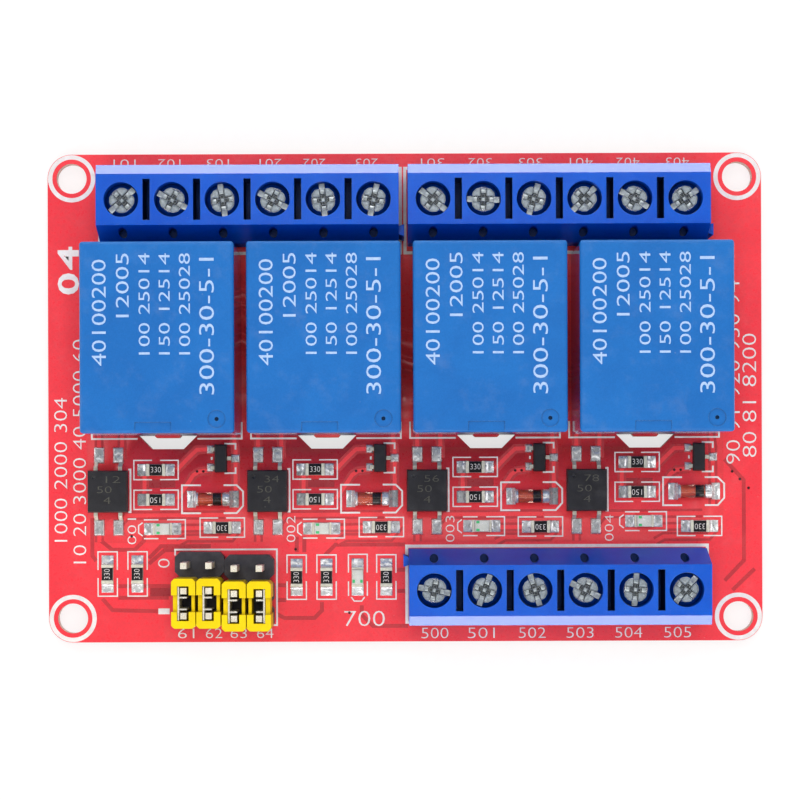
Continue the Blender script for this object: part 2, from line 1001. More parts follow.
@dataclass(frozen=True)
class Finish:
    """One finish, with its lengths in millimetres.

    Two colours drift into each other. The grain, or drawn lines along the stretch, stands as high as
    the depth says. The wall fields give upright walls a roughness and a gloss of their own, and the
    cavity fields darken narrow places within the reach.
    """

    name: str
    base: Colour
    other: Colour
    kind: Surface = Surface.PLASTIC
    rough: tuple[float, float] = (0.3, 0.45)
    drift: float = 4.0
    grain: float = 0.15
    depth: float = 0.004
    edge: float = 0.1
    worn: Colour | None = None
    wear: float = 0.4
    dust: float = 0.12
    scratches: float = 0.2
    coat: float = 0.0
    sheen_level: float = 0.35
    through: float = 0.0
    wall: float = 0.0
    wall_gloss: float = 1.0
    metal: float = 1.0
    cavity: float = 0.0
    reach: float = 1.2
    stretch: Colour | None = None

    def group(self, t: Tree, tree: bpy.types.NodeTree, **inputs: object) -> bpy.types.Node:
        """Adds a shared group to this finish.

        Args:
            t: The material's tree.
            tree: The group.
            inputs: The group's inputs.

        Returns:
            The group's node.
        """
        return t.add("Group", {"node_tree": tree}, **inputs)

    def colour(self, t: Tree, shared: Effects, place: bpy.types.NodeSocket) -> bpy.types.NodeSocket:
        """The colour before wear and dust.

        Args:
            t: The material's tree.
            shared: The shared groups.
            place: Object coordinates.

        Returns:
            The colour.
        """
        node = self.group(
            t, shared.drift, Vector=place, Size=self.drift, Base=self.base, Other=self.other
        )
        return node.outputs["Color"]

    def relief(
        self, t: Tree, shared: Effects, place: bpy.types.NodeSocket, normal: bpy.types.NodeSocket
    ) -> tuple[bpy.types.NodeSocket, bpy.types.NodeSocket]:
        """The surface's own relief.

        Args:
            t: The material's tree.
            shared: The shared groups.
            place: Object coordinates.
            normal: The normal so far.

        Returns:
            A mask that follows the relief, and the new normal.
        """
        if self.stretch:
            drawn = self.group(
                t, shared.brushed, Vector=place, Stretch=self.stretch, Depth=self.depth, Normal=normal
            )
            return drawn.outputs["Mask"], drawn.outputs["Normal"]
        grain = self.group(
            t, shared.grain, Vector=place, Size=self.grain, Depth=self.depth, Normal=normal
        )
        return grain.outputs["Mask"], grain.outputs["Normal"]

    def build(self, shared: Effects) -> bpy.types.Material:
        """Builds the material.

        Args:
            shared: The shared groups.

        Returns:
            The material.
        """
        material = bpy.data.materials.new(self.name)
        material.use_nodes = True
        t = Tree(material.node_tree)
        place = t.add("TexCoord").outputs["Object"]
        edges = self.group(t, shared.edges, Vector=place, Width=self.edge, Amount=self.wear)
        mask, normal = self.relief(t, shared, place, edges.outputs["Normal"])
        colour = self.colour(t, shared, place)
        colour = t.mix(t.times(mask, RELIEF_SHADE), colour, (0.0, 0.0, 0.0))
        if self.worn:
            colour = t.mix(edges.outputs["Mask"], colour, self.worn)
        if self.cavity:
            deep = self.group(t, shared.cavity, Reach=self.reach, Amount=self.cavity).outputs["Mask"]
            colour = t.mix(deep, colour, tuple(CAVITY_SHADE * part for part in self.base))
        dust = self.group(t, shared.dust, Vector=place, Amount=self.dust).outputs["Mask"]
        colour = t.mix(dust, colour, DUST)
        lines = self.group(t, shared.scratches, Vector=place, Amount=self.scratches).outputs["Mask"]
        rough = t.ramp(mask, 0, 1, *self.rough)
        rough = t.math("ADD", rough, t.times(lines, SCRATCH_ROUGHNESS))
        rough = t.math("ADD", rough, t.times(dust, DUST_ROUGHNESS))
        coat: object = self.coat
        gloss: object = self.sheen_level
        if self.wall:
            level = t.ramp(t.math("ABSOLUTE", t.facing()), *WALL_TO_TOP)
            coat = t.times(level, self.coat)
            gloss = t.ramp(level, 0, 1, self.wall_gloss * self.sheen_level, self.sheen_level)
            rough = t.math("ADD", self.wall, t.times(level, t.math("SUBTRACT", rough, self.wall)))
            normal = t.mix(level, edges.outputs["Normal"], normal)
        shader = t.add(
            "BsdfPrincipled",
            Base_Color=colour,
            Roughness=rough,
            Normal=normal,
            Metallic=self.metal if self.kind is Surface.METAL else 0.0,
            Specular_IOR_Level=gloss,
            Coat_Weight=coat,
            Coat_Roughness=COAT_ROUGHNESS,
            Transmission_Weight=self.through if self.kind is Surface.CLEAR else 0.0,
        )
        t.add("OutputMaterial", Surface=shader.outputs[0])
        return material


@dataclass(frozen=True)
class BoardFinish(Finish):
    """Solder mask over copper on both faces, bare laminate round the rim and in the slots."""

    rough: tuple[float, float] = (0.26, 0.4)
    drift: float = 3.0
    grain: float = 0.4
    depth: float = 0.002
    edge: float = 0.02
    wear: float = 0.0
    coat: float = 0.2
    dust: float = 0.05
    laminate: Colour = srgb(222, 176, 132)
    cloth: Colour = (0.25, 0.09, 0.05)
    layers: float = 0.18
    weave: float = 0.55
    weave_depth: float = 0.0016

    def colour(self, t: Tree, shared: Effects, place: bpy.types.NodeSocket) -> bpy.types.NodeSocket:
        """The mask's colour above and below, the laminate's layers at the sides.

        Args:
            t: The material's tree.
            shared: The shared groups.
            place: Object coordinates.

        Returns:
            The colour.
        """
        mask = super().colour(t, shared, place)
        height = t.add("SeparateXYZ", Vector=place).outputs["Z"]
        wave = t.math("SINE", t.times(height, 2 * math.pi / (self.layers * MM)))
        side = t.mix(t.ramp(wave, -1, 1, 0, 0.35), self.laminate, self.cloth)
        return t.mix(t.ramp(t.math("ABSOLUTE", t.facing()), 0.4, 0.7), side, mask)

    def relief(
        self, t: Tree, shared: Effects, place: bpy.types.NodeSocket, normal: bpy.types.NodeSocket
    ) -> tuple[bpy.types.NodeSocket, bpy.types.NodeSocket]:
        """The glass cloth's weave, faint under the mask.

        Args:
            t: The material's tree.
            shared: The shared groups.
            place: Object coordinates.
            normal: The normal so far.

        Returns:
            A mask that follows the weave, and the new normal.
        """
        xyz = t.add("SeparateXYZ", Vector=place)
        turn = 2 * math.pi / (self.weave * MM)
        warp = t.math("SINE", t.times(xyz.outputs["X"], turn))
        weft = t.math("SINE", t.times(xyz.outputs["Y"], turn))
        weave = t.ramp(t.times(warp, weft), -1, 1)
        woven = t.bump(weave, self.weave_depth * MM, normal)
        mask, normal = super().relief(t, shared, place, woven)
        return t.times(mask, t.ramp(weave, 0, 1, 0.75, 1)), normal


@dataclass(frozen=True)
class SolderFinish(Finish):
    """Soft solder that set in smooth swells, with a few dark flux specks."""

    def colour(self, t: Tree, shared: Effects, place: bpy.types.NodeSocket) -> bpy.types.NodeSocket:
        """Bright tin with sparse specks of flux.

        Args:
            t: The material's tree.
            shared: The shared groups.
            place: Object coordinates.

        Returns:
            The colour.
        """
        tin = super().colour(t, shared, place)
        specks = t.add("TexNoise", Vector=place, Scale=6.5 / MM, Detail=1.0)
        return t.mix(t.ramp(specks.outputs[0], 0.68, 0.74, 0, 0.7), tin, srgb(96, 62, 50))

    def relief(
        self, t: Tree, shared: Effects, place: bpy.types.NodeSocket, normal: bpy.types.NodeSocket
    ) -> tuple[bpy.types.NodeSocket, bpy.types.NodeSocket]:
        """Broad swells without fine grain.

        Args:
            t: The material's tree.
            shared: The shared groups.
            place: Object coordinates.
            normal: The normal so far.

        Returns:
            A mask that follows the swells, and the new normal.
        """
        swell = t.add("TexNoise", Vector=place, Scale=1 / (self.grain * MM), Detail=0.6, Distortion=0.3)
        height = t.ramp(swell.outputs[0], 0.2, 0.8)
        return t.ramp(swell.outputs[0], 0.3, 0.7), t.bump(height, self.depth * MM, normal)


@dataclass(frozen=True)
class WoundFinish(Finish):
    """Enamelled wire in close turns round a standing coil."""

    pitch: float = 0.12

    def relief(
        self, t: Tree, shared: Effects, place: bpy.types.NodeSocket, normal: bpy.types.NodeSocket
    ) -> tuple[bpy.types.NodeSocket, bpy.types.NodeSocket]:
        """The turns of wire.

        Args:
            t: The material's tree.
            shared: The shared groups.
            place: Object coordinates.
            normal: The normal so far.

        Returns:
            A mask that is dark between the turns, and the new normal.
        """
        wobble = self.group(t, shared.grain, Vector=place, Size=1.2, Depth=0.0, Normal=normal)
        height = t.add("SeparateXYZ", Vector=place).outputs["Z"]
        height = t.math("ADD", height, t.times(wobble.outputs["Mask"], 0.05 * MM))
        turns = t.math("SINE", t.times(height, 2 * math.pi / (self.pitch * MM)))
        mask = t.ramp(turns, -1, 1)
        return t.math("SUBTRACT", 1.0, mask), t.bump(mask, 0.3 * self.pitch * MM, normal)


class Finishes:
    """Every finish on the board, by its material slot."""

    def __init__(self, shared: Effects) -> None:
        """Builds all the materials.

        Args:
            shared: The shared shader groups.
        """
        table = [
            BoardFinish(
                "board_laminate", srgb(245, 62, 72), srgb(236, 54, 66), drift=9, grain=0.5, edge=0.08,
                dust=0.1,
            ),
            Finish(
                "terminal_plastic", srgb(0, 88, 204), srgb(0, 80, 196), rough=(0.16, 0.26), grain=0.12,
                depth=0.0015, edge=0.07, worn=srgb(90, 140, 220), wear=0.2, dust=0.03, sheen_level=0.5,
                coat=0.7, wall=0.5, wall_gloss=0.2, cavity=0.95, reach=2.2,
            ),
            Finish(
                "cage_metal", srgb(186, 184, 178), srgb(160, 158, 150), Surface.METAL, (0.26, 0.42),
                drift=1.5, depth=0.002, edge=0.05, stretch=(400, 5000, 5000),
            ),
            Finish(
                "guard_bronze", srgb(206, 190, 160), srgb(186, 166, 130), Surface.METAL, (0.24, 0.4),
                drift=1.2, depth=0.002, edge=0.04, stretch=(5000, 5000, 300),
            ),
            Finish(
                "screw_steel", srgb(226, 228, 228), srgb(200, 204, 206), Surface.METAL, (0.14, 0.24),
                drift=0.6, grain=0.12, depth=0.0006, edge=0.24, wear=0.0, dust=0.02, scratches=0.2,
            ),
            Finish(
                "screw_face", srgb(232, 240, 240), srgb(196, 208, 212), Surface.METAL, (0.16, 0.26),
                drift=0.3, grain=0.3, depth=0.01, edge=0.03, worn=srgb(252, 252, 252), wear=0.8,
                dust=0.0, scratches=0.3, metal=0.72, cavity=0.85, reach=0.4,
            ),
            Finish(
                "relay_plastic", srgb(18, 106, 184), srgb(14, 99, 176), rough=(0.38, 0.5), drift=7,
                grain=0.14, depth=0.004, edge=0.14, worn=srgb(118, 170, 226), wear=0.3, dust=0.1,
                scratches=0.25, wall=0.08, cavity=0.9, reach=0.7,
            ),
            Finish(
                "base_plastic", srgb(24, 24, 26), srgb(36, 36, 38), rough=(0.5, 0.65), grain=0.1,
                depth=0.006, edge=0.06, worn=srgb(90, 90, 92),
            ),
            Finish(
                "bobbin_plastic", srgb(222, 214, 196), srgb(206, 196, 174), rough=(0.42, 0.55),
                grain=0.1, depth=0.004, edge=0.06,
            ),
            WoundFinish(
                "winding_copper", srgb(176, 84, 40), srgb(150, 66, 30), Surface.METAL, (0.22, 0.4),
                drift=1.6, wear=0.0, dust=0.0, scratches=0.0, edge=0.02,
            ),
            Finish(
                "core_iron", srgb(150, 150, 148), srgb(126, 126, 126), Surface.METAL, (0.3, 0.48),
                drift=1.0, grain=0.1, depth=0.003, edge=0.06,
            ),
            Finish(
                "yoke_steel", srgb(176, 178, 180), srgb(152, 154, 158), Surface.METAL, (0.28, 0.44),
                drift=2.0, depth=0.002, edge=0.07, stretch=(4000, 4000, 300),
            ),
            Finish(
                "armature_steel", srgb(182, 184, 186), srgb(158, 160, 164), Surface.METAL, (0.28, 0.42),
                drift=2.0, depth=0.002, edge=0.07, stretch=(4000, 300, 4000),
            ),
            Finish(
                "spring_bronze", srgb(214, 164, 96), srgb(190, 136, 70), Surface.METAL, (0.22, 0.36),
                drift=1.4, depth=0.0015, edge=0.03, stretch=(5000, 300, 5000),
            ),
            Finish(
                "contact_copper", srgb(214, 140, 96), srgb(186, 108, 66), Surface.METAL, (0.25, 0.42),
                drift=1.0, depth=0.002, edge=0.05, stretch=(5000, 5000, 300),
            ),
            Finish(
                "tinned_pins", srgb(206, 206, 204), srgb(178, 178, 176), Surface.METAL, (0.24, 0.42),
                drift=0.8, grain=0.12, depth=0.004, edge=0.05,
            ),
            Finish(
                "jumper_plastic", srgb(244, 214, 0), srgb(236, 204, 0), rough=(0.32, 0.44), drift=2.5,
                grain=0.1, depth=0.003, edge=0.07, worn=srgb(250, 232, 90), wear=0.2, dust=0.02,
                sheen_level=0.25, cavity=0.6, reach=0.8,
            ),
            Finish(
                "clip_metal", srgb(242, 240, 232), srgb(226, 222, 210), Surface.METAL, (0.22, 0.34),
                drift=0.6, grain=0.2, depth=0.001, edge=0.04, metal=0.35, dust=0.0,
            ),
            Finish(
                "header_plastic", srgb(56, 54, 60), srgb(68, 66, 72), rough=(0.4, 0.55), drift=1.2,
                grain=0.09, depth=0.006, edge=0.08, worn=srgb(110, 108, 112), wear=0.35,
            ),
            Finish(
                "pin_gold", srgb(250, 244, 230), srgb(240, 230, 206), Surface.METAL, (0.25, 0.38),
                drift=0.4, grain=0.2, depth=0.001, edge=0.05, metal=0.35, dust=0.0,
            ),
            Finish(
                "package_plastic", srgb(36, 35, 38), srgb(44, 43, 46), rough=(0.5, 0.66), drift=1.2,
                grain=0.07, depth=0.006, edge=0.06, worn=srgb(104, 104, 106), wear=0.3, dust=0.06,
            ),
            Finish(
                "diode_glass", srgb(246, 214, 196), srgb(240, 200, 180), Surface.CLEAR, (0.03, 0.08),
                drift=0.8, grain=0.3, depth=0.001, edge=0.05, coat=0.0, through=0.95, scratches=0.05,
            ),
            Finish(
                "lamp_resin", srgb(244, 244, 236), srgb(234, 236, 222), Surface.CLEAR, (0.14, 0.28),
                drift=0.6, grain=0.2, depth=0.002, edge=0.06, coat=0.4, through=0.3,
            ),
            Finish(
                "resistor_ceramic", srgb(14, 14, 16), srgb(22, 22, 24), rough=(0.28, 0.42), drift=0.6,
                grain=0.06, depth=0.004, edge=0.05, worn=srgb(120, 120, 124), wear=0.4,
            ),
            Finish(
                "lead_tin", srgb(232, 226, 210), srgb(212, 206, 190), Surface.METAL, (0.3, 0.45),
                drift=0.5, grain=0.12, depth=0.003, edge=0.04, metal=0.55,
            ),
            SolderFinish(
                "solder", srgb(232, 232, 232), srgb(206, 208, 210), Surface.METAL, (0.2, 0.32),
                drift=0.5, grain=0.55, depth=0.045, edge=0.12, dust=0.02, scratches=0.0, metal=0.65,
            ),
            Finish(
                "print_ink", srgb(238, 232, 230), srgb(226, 216, 214), rough=(0.45, 0.6), drift=1.2,
                grain=0.08, depth=0.004, edge=0.02, wear=0.0,
            ),
            Finish(
                "relay_ink", srgb(176, 200, 234), srgb(158, 188, 230), rough=(0.4, 0.55), drift=0.5,
                grain=0.08, depth=0.004, edge=0.02, wear=0.0,
            ),
            BoardFinish("mask_bare", srgb(238, 66, 72), srgb(228, 58, 66), drift=5, dust=0.06),
            BoardFinish("mask_track", srgb(246, 68, 74), srgb(238, 60, 68)),
            BoardFinish("mask_gap", srgb(196, 56, 62), srgb(184, 48, 56)),
            BoardFinish("mask_patch", srgb(166, 46, 54), srgb(156, 40, 48)),
            Finish(
                "via_dark", srgb(58, 16, 20), srgb(40, 10, 14), rough=(0.4, 0.55), drift=0.3, grain=0.08,
                edge=0.02, wear=0.0,
            ),
            Finish(
                "end_cap", srgb(222, 218, 200), srgb(196, 192, 176), rough=(0.28, 0.42), drift=0.4,
                grain=0.08, depth=0.005, edge=0.05,
            ),
            Finish(
                "ceramic_white", srgb(232, 230, 220), srgb(218, 216, 206), rough=(0.45, 0.6), drift=0.5,
                grain=0.06, depth=0.004, edge=0.03,
            ),
            Finish(
                "diode_stud", srgb(232, 96, 52), srgb(214, 70, 34), rough=(0.25, 0.4), drift=0.4,
                grain=0.08, depth=0.004, edge=0.03,
            ),
            Finish(
                "band_paint", srgb(28, 22, 22), srgb(40, 30, 28), rough=(0.2, 0.32), drift=0.4,
                grain=0.08, depth=0.003, edge=0.02, coat=0.3,
            ),
            Finish(
                "laser_mark", srgb(92, 90, 80), srgb(74, 72, 66), rough=(0.6, 0.75), drift=0.3,
                grain=0.05, depth=0.003, edge=0.01, wear=0.0,
            ),
            Finish(
                "lamp_die", srgb(52, 178, 104), srgb(74, 196, 120), rough=(0.3, 0.45), drift=0.2,
                grain=0.05, edge=0.02,
            ),
        ]
        self.materials = {finish.name: finish.build(shared) for finish in table}

    def on(self, obj: bpy.types.Object, name: str) -> bpy.types.Object:
        """Gives an object one finish.

        Args:
            obj: The object.
            name: The finish's name.

        Returns:
            The same object.
        """
        obj.data.materials.clear()
        obj.data.materials.append(self.materials[name])
        return obj


# ---------------------------------------------------------------- parts


class Part:
    """One sub-assembly: it adds its own pieces, then takes its finishes."""

    def __init__(self, finishes: Finishes) -> None:
        """Keeps the finishes.

        Args:
            finishes: Every finish on the board.
        """
        self.finishes = finishes
        self.count = 0

    def build(self) -> None:
        """Adds the pieces that the CAD model doesn't have."""

    def dress(self) -> None:
        """Gives the CAD nodes their finishes."""

    def node(self, name: str, finish: str) -> None:
        """Gives a CAD node its finish.

        Args:
            name: The node's name.
            finish: The finish's name.
        """
        self.finishes.on(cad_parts[name], finish)

    def keep(
        self, obj: bpy.types.Object, finish: str, slot: str, body: str = "module"
    ) -> bpy.types.Object:
        """Finishes a new piece and hands it over.

        Args:
            obj: The piece.
            finish: The finish's name.
            slot: The material slot it belongs to.
            body: The body it moves with.

        Returns:
            The same piece.
        """
        self.finishes.on(obj, finish)
        self.count += 1
        return added(obj, body)


@dataclass(frozen=True)
class BoardSize:
    """What the board's own face needs, in millimetres."""

    top: float = 1.6
    hole: Point = (34.5, 22.8)
    ring_inner: float = 2.0
    ring_outer: float = 2.45
    ink: float = 0.02
    film: float = 0.012
    fine: float = 0.13
    bold: float = 0.18
    block: float = 0.32
    gap: float = 0.26
    track: float = 0.42
    strip: float = 0.4
    relay_half: Point = (7.77, 9.75)
    relay_gap: Point = (-3.15, 3.05)
    chip_half: Point = (2.3, 1.0)
    chip_gap: float = 0.84
    slot_width: float = 1.15
    patch: float = 0.86
    via_radius: float = 0.14
    via_rim: float = 0.05
    relay_middle: Point = (-0.12, 5.55)
    relay_tick: float = 1.7
    bold_figure: float = 2.0


@dataclass(frozen=True)
class Figure:
    """One plain number on the board: its middle, turn, height and length, in millimetres and degrees."""

    text: str
    at: Point
    turn: float
    height: float
    length: float


@dataclass(frozen=True)
class FigureRow:
    """A row of plain numbers beside the poles of a block, in millimetres and degrees."""

    texts: str
    xs: tuple[float, ...]
    y: float
    turn: float
    height: float
    length: float

    def figures(self) -> list[Figure]:
        """Splits the row.

        Returns:
            Its numbers.
        """
        pairs = zip(self.texts.split(), self.xs)
        return [Figure(text, (x, self.y), self.turn, self.height, self.length) for text, x in pairs]


class Board(Part):
    """The laminate with its mask, its bare strips, its tracks, its vias and its print."""

    size = BoardSize()
    # Strips without copper that part the tracks from the pour, in millimetres
    gaps: tuple[Path, ...] = (
        ((-32.48, -12.4), (-32.48, -16.32), (-32.09, -16.84)),
        ((-31.44, -20.77), (-30.41, -21.96), (-25.63, -22.09)),
        ((-29.81, -19.48), (-24.33, -19.48)),
        ((-29.81, -20.67), (-24.59, -20.67)),
        (
            (-31.57, -14.0), (-31.57, -14.77), (-30.41, -15.7), (-28.08, -15.7), (-27.13, -14.77),
            (-27.13, -14.0),
        ),
        ((-26.61, -17.15), (-24.98, -15.75), (-22.26, -15.75)),
        ((-26.61, -16.58), (-25.37, -15.34), (-20.2, -15.34)),
        ((-13.35, -22.43), (-12.57, -22.84), (-9.47, -22.84), (-8.69, -22.06), (-8.69, -21.18)),
        ((-11.28, -16.01), (-11.28, -14.4)),
        ((-10.5, -16.01), (-10.5, -14.4)),
        ((-8.36, -16.32), (-7.27, -15.24), (-0.03, -15.24)),
        ((-4.56, -21.55), (-4.56, -22.53), (-3.39, -23.69), (0.23, -23.69)),
        ((-0.86, -17.87), (0.1, -17.87)),
        ((-0.86, -20.07), (0.1, -20.07)),
        ((-13.35, -19.43), (-12.39, -19.43)),
        ((-13.35, -20.98), (-12.39, -20.98)),
        ((33.1, -6.5), (35.1, -8.7), (35.1, -17.0), (33.1, -19.1)),
        ((36.2, -17.9), (33.9, -20.1)),
    )
    bare: Path = (
        (-32.2, -15.0), (31.9, -15.0), (33.0, -13.9), (33.0, 15.4), (-33.0, 15.4), (-33.0, -14.2)
    )
    # Tracks of one channel, measured from its relay's middle line
    tracks: tuple[Path, ...] = (
        ((0.9, -7.45), (2.0, -6.3), (3.0, -5.35), (4.3, -5.3)),
        ((0.9, -10.5), (2.0, -8.9), (2.6, -8.0), (3.2, -7.6), (4.5, -7.45)),
        ((-2.45, -7.5), (-2.45, -10.5)),
        ((-5.1, -13.1), (-4.3, -12.15), (5.9, -12.1)),
        ((0.8, -13.5), (4.0, -13.45)),
        ((6.8, -3.9), (7.0, -5.2), (7.0, -11.2)),
        ((-7.15, -13.0), (-7.15, -14.9)),
        ((-7.15, -6.2), (-7.15, -3.0)),
        ((-4.75, -6.3), (-4.75, -3.0)),
        ((1.0, -15.0), (1.9, -14.5), (6.5, -14.5), (7.6, -13.2)),
    )
    # Middle line of the milled slot round the common pin
    slot: Path = (
        (-2.475, 0.72), (-2.475, -3.62), (-1.402, -4.695), (1.402, -4.695), (2.475, -3.62), (2.475, 0.72)
    )
    vias: tuple[Point, ...] = ((3.0, -7.59), (3.66, -7.59))
    edge_vias: tuple[Point, ...] = (
        (33.9, -7.77),
        (34.7, -8.57),
        (35.6, -9.5),
        (-5.85, -22.3),
        (-11.4, -15.7),
        (-28.4, -14.3),
    )
    # Patches without copper: one in each channel, and one beside the pin headers
    patch: Path = ((-1.98, -8.85), (0.75, -8.85))
    header_patch: Path = ((-26.5, -20.1), (-24.4, -20.1))
    # Print round a lamp and round the other parts, from the part's middle
    lamp_print: tuple[Path, ...] = (
        ((-0.44, 0.95), (-1.95, 0.95)),
        ((-2.08, 0.66), (-2.5, 0.35), (-2.5, -0.4), (-2.08, -0.72)),
        ((-0.44, -1.0), (-1.95, -1.0)),
        ((0.46, 0.95), (2.35, 0.95), (2.35, -1.0), (0.46, -1.0)),
    )
    part_print: tuple[tuple[str, tuple[Path, ...]], ...] = (
        (
            "glass_diodes",
            (
                ((-1.25, 1.45), (-3.22, 1.45), (-3.22, -1.45), (-1.25, -1.45)),
                ((1.1, 1.45), (2.45, 1.45), (3.12, 0.79), (3.12, -0.7), (2.45, -1.45), (1.1, -1.45)),
            ),
        ),
        (
            "transistors",
            (
                ((0.35, 1.52), (1.5, 1.52), (1.5, 0.92)),
                ((1.5, -0.92), (1.5, -1.52), (0.35, -1.52)),
                ((-0.97, 0.16), (-0.97, -0.16)),
            ),
        ),
        ("optocouplers", (((2.0, 2.28), (2.24, 2.28), (2.24, -2.14), (2.0, -2.14)),)),
    )
    header_print: Path = (
        (-23.9, -16.3), (-23.9, -15.7), (-13.35, -15.7), (-13.35, -23.56), (-13.7, -23.56)
    )
    # Two opposite corners of the outline of each terminal block
    block_print: tuple[tuple[Point, Point], ...] = (
        ((0.12, -15.42), (31.3, -23.3)),
        ((-31.6, 15.0), (-0.42, 23.76)),
        ((0.05, 15.0), (31.3, 23.76)),
    )
    # The number of each channel, from its relay's middle line
    channel: Figure = Figure("00", (-3.72, -13.6), 90, 0.95, 2.7)
    rows: tuple[FigureRow, ...] = (
        FigureRow(
            "101 102 103 201 202 203", (-29.0, -24.2, -19.2, -14.0, -9.3, -3.9), 24.42, 180, 0.88, 2.3
        ),
        FigureRow("301 302 303 401 402 403", (2.8, 7.9, 13.1, 18.2, 23.2, 28.3), 24.42, 180, 0.88, 2.4),
        FigureRow("500 501 502 503 504 505", (3.0, 8.0, 13.1, 18.1, 23.1, 28.2), -24.5, 0, 1.15, 2.8),
        FigureRow("61 62 63 64", (-22.6, -19.9, -17.3, -14.6), -24.45, 0, 1.05, 1.7),
    )
    single: tuple[Figure, ...] = (
        Figure("0", (-25.0, -17.1), 90, 1.25, 0.95),
        Figure("1", (-25.0, -22.1), 90, 1.25, 0.6),
        Figure("700", (-4.3, -23.0), 0, 1.65, 4.2),
        Figure("4", (-34.75, 14.6), 90, 2.1, 2.4),
        Figure("0", (-34.75, 11.9), 90, 2.1, 2.2),
        Figure("1000 2000 304", (-35.65, -7.6), 90, 1.4, 14.9),
        Figure("10 20 3000 40 5000 60", (-33.7, -5.7), 90, 1.4, 23.2),
        Figure("80 81 8200", (35.8, 0.1), 90, 1.5, 12.8),
        Figure("90 91 920 930 94", (34.1, 2.5), 90, 1.5, 19.0),
    )

    def dress(self) -> None:
        """Finishes the laminate."""
        self.node("circuit_board", "board_laminate")

    def relay_middles(self) -> list[float]:
        """The middle line of every relay.

        Returns:
            Their X, in millimetres.
        """
        return [top_middle(f"relay_cover_{number}").x for number in range(1, 5)]

    def print_on(self, obj: bpy.types.Object) -> None:
        """Finishes a print on the board.

        Args:
            obj: The print.
        """
        self.keep(obj, "print_ink", "board_laminate")

    def via(self, at: Point) -> bpy.types.Object:
        """Models one plated hole with its rim.

        Args:
            at: Its middle, in millimetres.

        Returns:
            The hole.
        """
        s = self.size
        rim = disc("via", s.via_radius, 1.5 * s.film, (*at, s.top + 2 * s.film), 20)
        with editing(rim):
            bpy.ops.mesh.select_all(action="DESELECT")
        pick_faces(rim)
        with editing(rim):
            step(s.via_rim, -0.6 * s.film)
        return rim

    def copper(self) -> None:
        """Lays the bare field, the strips, tracks and patches on it, and the vias."""
        s = self.size
        xs = self.relay_middles()
        field = plate("bare_field", self.bare, s.top, s.film)
        slots = [moved(self.slot, (x, 0)) for x in xs]
        cutter = ribbon("slot_cutter", slots, s.slot_width, s.top - 0.5, 1)
        apply_modifier(field, "BOOLEAN", operation="DIFFERENCE", object=cutter, solver="EXACT")
        bpy.data.objects.remove(cutter)
        lines = [moved(path, (x, 0)) for x in xs for path in self.tracks]
        patches = [moved(self.patch, (x, 0)) for x in xs] + [self.header_patch]
        holes = [(x + vx, vy) for x in xs for vx, vy in self.vias] + list(self.edge_vias)
        above = s.top + s.film
        for obj, finish in (
            (field, "mask_bare"),
            (ribbon("bare_strips", self.gaps, s.strip, s.top, 1.5 * s.film), "mask_gap"),
            (ribbon("track_gaps", lines, s.track + 2 * s.gap, above, s.film), "mask_gap"),
            (ribbon("copper_tracks", lines, s.track, s.top + 1.5 * s.film, s.film), "mask_track"),
            (ribbon("bare_patches", patches, s.patch, above, 0.7 * s.film), "mask_patch"),
            (clean(merged("vias", [self.via(at) for at in holes])), "via_dark"),
        ):
            self.keep(obj, finish, "board_laminate")

    def chip_frame(self, half: Point, gap: float) -> list[Path]:
        """A box round a chip, open in the middle of both long sides.

        Args:
            half: Half its size.
            gap: The width of the openings.

        Returns:
            Its two halves.
        """
        x, y = half
        return [[(s * gap / 2, y), (s * x, y), (s * x, -y), (s * gap / 2, -y)] for s in (-1, 1)]

    def relay_print(self) -> list[Path]:
        """The two corners that show past each relay's low end.

        Returns:
            Their paths.
        """
        s = self.size
        shift, middle = s.relay_middle
        low = middle - s.relay_half[1]
        corners: list[Path] = []
        for x in self.relay_middles():
            for side, inner in zip((-1, 1), s.relay_gap):
                end = x + shift + side * s.relay_half[0]
                corners.append([(x + inner, low), (end, low), (end, low + s.relay_tick)])
        return corners

    def outlines(self) -> None:
        """Prints the rings, the boxes round the parts and the blocks' outlines."""
        s = self.size
        middle, width = (s.ring_inner + s.ring_outer) / 2, s.ring_outer - s.ring_inner
        corners = [(x * s.hole[0], y * s.hole[1]) for x in (-1, 1) for y in (-1, 1)]
        rings = [arc(at, middle, 0, 360, 72) for at in corners]
        self.print_on(ribbon("ring_print", rings, width, s.top, s.ink))
        z = s.top + s.film
        fine: list[Path] = []
        for node, paths in (
            ("resistors", self.chip_frame(s.chip_half, s.chip_gap)),
            ("lamps", self.lamp_print),
        ):
            fine += [moved(path, at, int(tall)) for at, tall in middles(node) for path in paths]
        self.print_on(ribbon("chip_print", fine, s.fine, z, s.ink))
        blocks = [
            [(x0, y0), (x1, y0), (x1, y1), (x0, y1), (x0, y0)] for (x0, y0), (x1, y1) in self.block_print
        ]
        self.print_on(ribbon("block_print", blocks, s.block, z, s.ink))
        bold: list[Path] = []
        for node, paths in self.part_print:
            bold += [moved(path, at) for at, _ in middles(node) for path in paths]
        bold += self.relay_print() + [self.header_print]
        self.print_on(ribbon("part_print", bold, s.bold, z, s.ink))

    def figures(self) -> None:
        """Prints plain numbers where the labels stand."""
        s = self.size
        channel = self.channel
        figures = [
            replace(channel, text=f"{channel.text}{number}", at=(x + channel.at[0], channel.at[1]))
            for number, x in enumerate(self.relay_middles(), 1)
        ]
        for row in self.rows:
            figures += row.figures()
        prints = []
        for figure in figures + list(self.single):
            thin = -0.02 if figure.height > s.bold_figure else 0.014
            at = (*figure.at, s.top + s.film)
            prints.append(
                numeral(figure.text, figure.height, at, figure.turn, s.ink, figure.length, thin)
            )
        self.print_on(merged("figure_print", prints))

    def build(self) -> None:
        """Adds copper, outlines and figures."""
        self.copper()
        self.outlines()
        self.figures()


